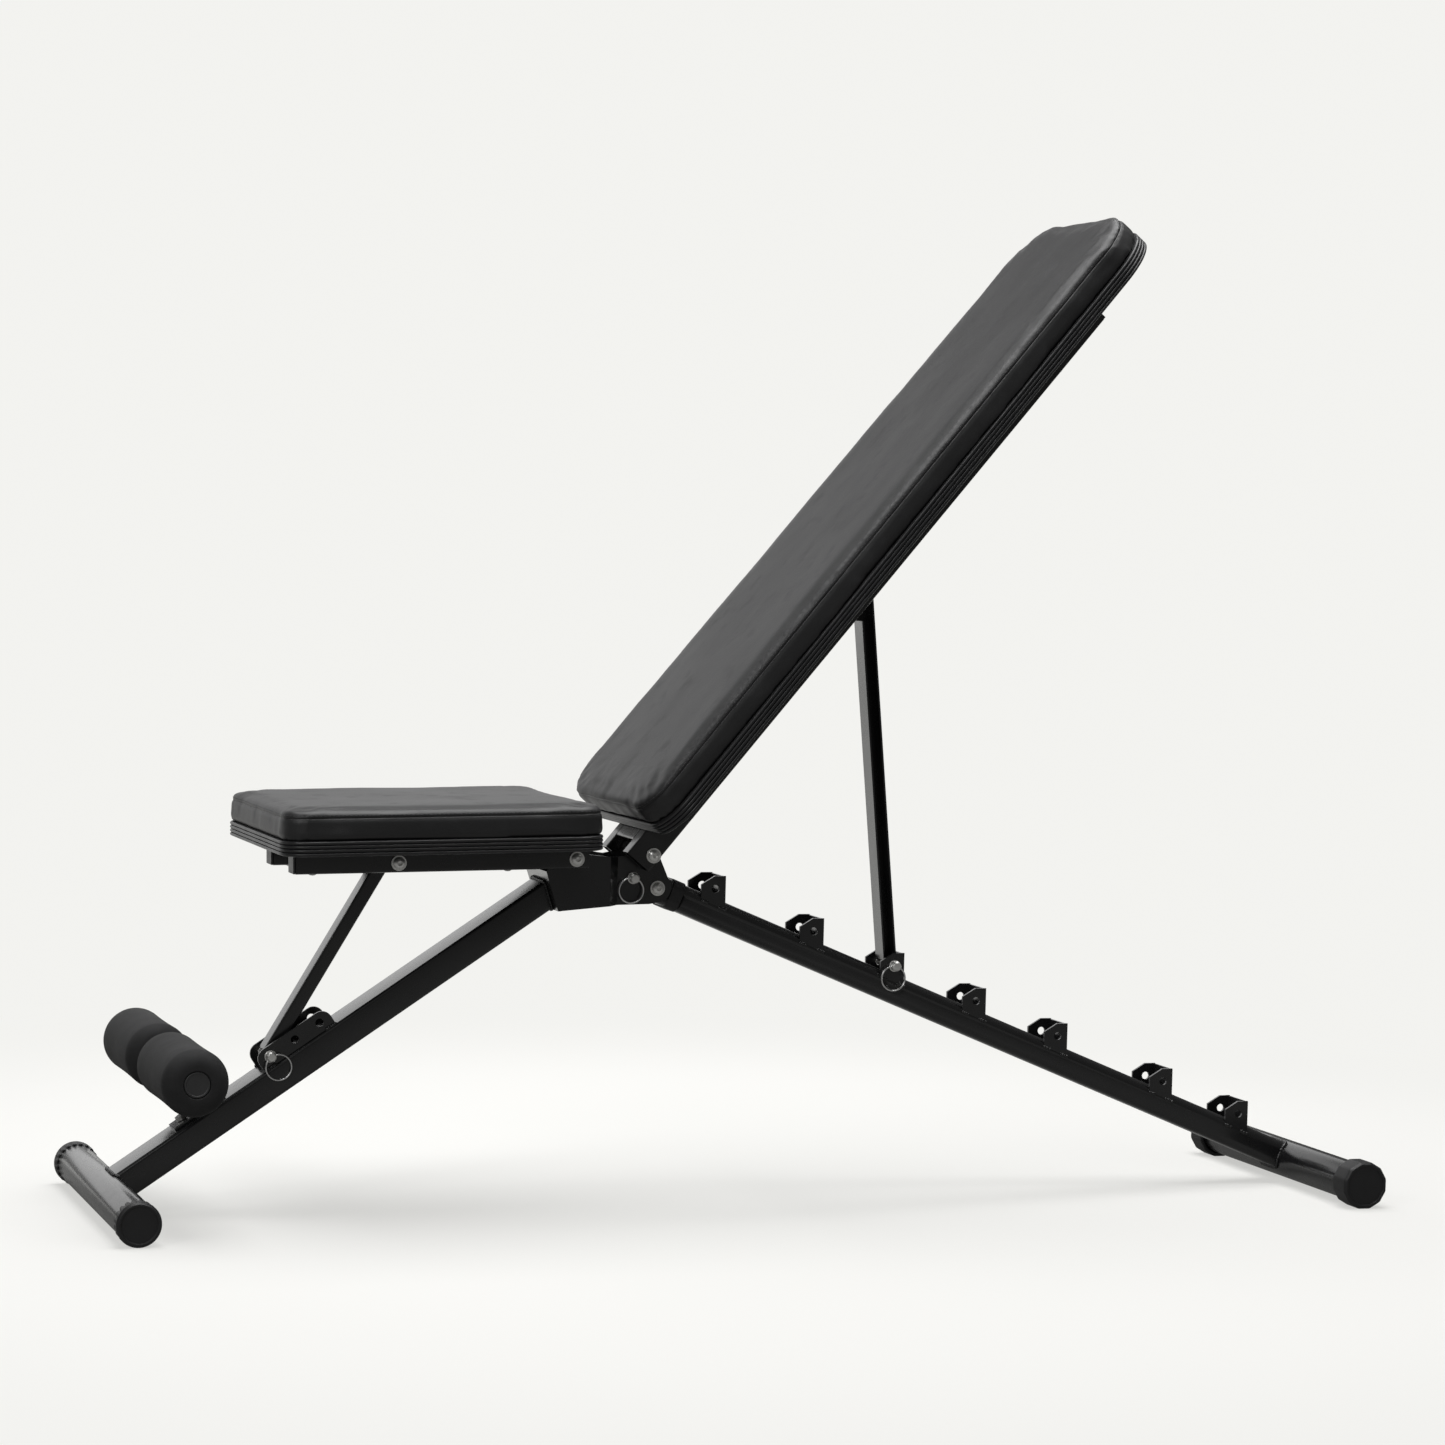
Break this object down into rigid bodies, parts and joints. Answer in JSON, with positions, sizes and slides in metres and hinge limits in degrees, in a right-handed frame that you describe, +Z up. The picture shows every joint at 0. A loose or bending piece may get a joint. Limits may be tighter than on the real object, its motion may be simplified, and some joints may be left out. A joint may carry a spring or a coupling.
{
  "type": "adjustable weight bench",
  "caption": "Folding weight bench with a reclining padded backrest on a propping strut, a tilting seat, foam leg rollers and a pinned oval-tube frame.",
  "frame": {"origin": "on the floor, at the middle of the overall length and of the width", "axes": "+X along the bench from the foam rollers to the rear foot, +Y towards the far side, +Z up"},
  "size_m": [1.398, 0.4, 1.0752],
  "materials": {
    "black_steel": "gloss black powder coat",
    "zinc": "bright zinc plate",
    "leather": "dark grey artificial leather over foam, satin",
    "board": "plywood wrapped in dark grey artificial leather, satin",
    "foam": "matte black closed-cell foam",
    "plastic": "moulded black plastic"
  },
  "bodies": {
    "root": {"front_leg_tube": "black_steel", "hub_bracket": "black_steel", "front_foot_tube": "black_steel", "front_foot_cap_near": "plastic", "front_foot_cap_far": "plastic", "seat_ladder_bracket": "black_steel", "roller_bracket": "black_steel", "roller_shaft": "black_steel", "roller_bracket_screw": "zinc", "roller_plug_near": "plastic", "roller_plug_far": "plastic", "seat_pivot_bolt": "zinc", "seat_pivot_nut": "zinc", "back_pivot_bolt": "zinc", "back_pivot_nut": "zinc", "leg_pivot_bolt": "zinc", "leg_pivot_nut": "zinc"},
    "rear_leg": {"rear_leg_tube": "black_steel", "rear_leg_sleeve": "black_steel", "rear_foot_tube": "black_steel", "rear_foot_cap_near": "plastic", "rear_foot_cap_far": "plastic", "ladder_bracket_1": "black_steel", "ladder_bracket_2": "black_steel", "ladder_bracket_3": "black_steel", "ladder_bracket_4": "black_steel", "ladder_bracket_5": "black_steel", "ladder_bracket_6": "black_steel", "ladder_bracket_7": "black_steel"},
    "backrest": {"back_rail_near": "black_steel", "back_rail_far": "black_steel", "back_rail_plug_near": "plastic", "back_rail_plug_far": "plastic", "back_cross_tube": "black_steel", "back_board": "board", "back_cushion": "leather", "back_strut_bolt": "zinc", "back_strut_nut": "zinc", "back_strut_spacer_near": "zinc", "back_strut_spacer_far": "zinc"},
    "back_strut": {"back_strut": "black_steel"},
    "seat": {"seat_rail_near": "black_steel", "seat_rail_far": "black_steel", "seat_rail_plug_near": "plastic", "seat_rail_plug_far": "plastic", "seat_board": "board", "seat_cushion": "leather", "seat_strut_bolt": "zinc", "seat_strut_nut": "zinc", "seat_strut_spacer_near": "zinc", "seat_strut_spacer_far": "zinc"},
    "seat_strut": {"seat_strut": "black_steel"},
    "roller_near": {"foam_roller_near": "foam"},
    "roller_far": {"foam_roller_far": "foam"},
    "seat_pin": {"seat_lock_pin": "zinc"},
    "seat_ring": {"seat_lock_ring": "zinc"},
    "hub_pin": {"hub_lock_pin": "zinc"},
    "hub_ring": {"hub_lock_ring": "zinc"},
    "back_pin": {"back_lock_pin": "zinc"},
    "back_ring": {"back_lock_ring": "zinc"}
  },
  "joints": [
    {"name": "backrest_recline", "type": "hinge", "parent": "root", "child": "backrest", "pos_m": [-0.1063, 0, 0.3765], "axis": [0, -1, 0], "range_deg": [0, 32]},
    {"name": "back_strut_swing", "type": "hinge", "parent": "backrest", "child": "back_strut", "pos_m": [0.1392, 0, 0.68259], "axis": [0, -1, 0], "range_deg": [-30, 0]},
    {"name": "seat_tilt", "type": "hinge", "parent": "root", "child": "seat", "pos_m": [-0.1964, 0, 0.3744], "axis": [0, 1, 0], "range_deg": [0, 16.5]},
    {"name": "seat_strut_swing", "type": "hinge", "parent": "seat", "child": "seat_strut", "pos_m": [-0.38877, 0, 0.37071], "axis": [0, 1, 0], "range_deg": [-28.5, 0]},
    {"name": "rear_leg_fold", "type": "hinge", "parent": "root", "child": "rear_leg", "pos_m": [-0.0943, 0, 0.3396], "axis": [0, 1, 0], "range_deg": [0, 66]},
    {"name": "roller_near_spin", "type": "hinge", "parent": "root", "child": "roller_near", "pos_m": [-0.61802, -0.103, 0.15929], "axis": [0, 1, 0], "continuous": true},
    {"name": "roller_far_spin", "type": "hinge", "parent": "root", "child": "roller_far", "pos_m": [-0.61802, 0.103, 0.15929], "axis": [0, 1, 0], "continuous": true},
    {"name": "seat_pin_pull", "type": "slide", "parent": "root", "child": "seat_pin", "axis": [0, -1, 0], "range_m": [0, 0.075]},
    {"name": "seat_ring_swing", "type": "hinge", "parent": "seat_pin", "child": "seat_ring", "pos_m": [-0.51028, -0.0271, 0.16463], "axis": [-0.809, 0, -0.5878], "range_deg": [0, 150]},
    {"name": "hub_pin_pull", "type": "slide", "parent": "root", "child": "hub_pin", "axis": [0, -1, 0], "range_m": [0, 0.075]},
    {"name": "hub_ring_swing", "type": "hinge", "parent": "hub_pin", "child": "hub_ring", "pos_m": [-0.1216, -0.0334, 0.35077], "axis": [-0.9659, 0, 0.2588], "range_deg": [0, 95]},
    {"name": "back_pin_pull", "type": "slide", "parent": "rear_leg", "child": "back_pin", "axis": [0, -1, 0], "range_m": [0, 0.075]},
    {"name": "back_ring_swing", "type": "hinge", "parent": "back_pin", "child": "back_ring", "pos_m": [0.18097, -0.0301, 0.25292], "axis": [-0.9781, 0, 0.2079], "range_deg": [0, 150]}
  ],
  "couplings": [
    {"joint": "back_strut_swing", "follows": "backrest_recline", "ratio": -0.92},
    {"joint": "seat_strut_swing", "follows": "seat_tilt", "ratio": -1.7114}
  ]
}
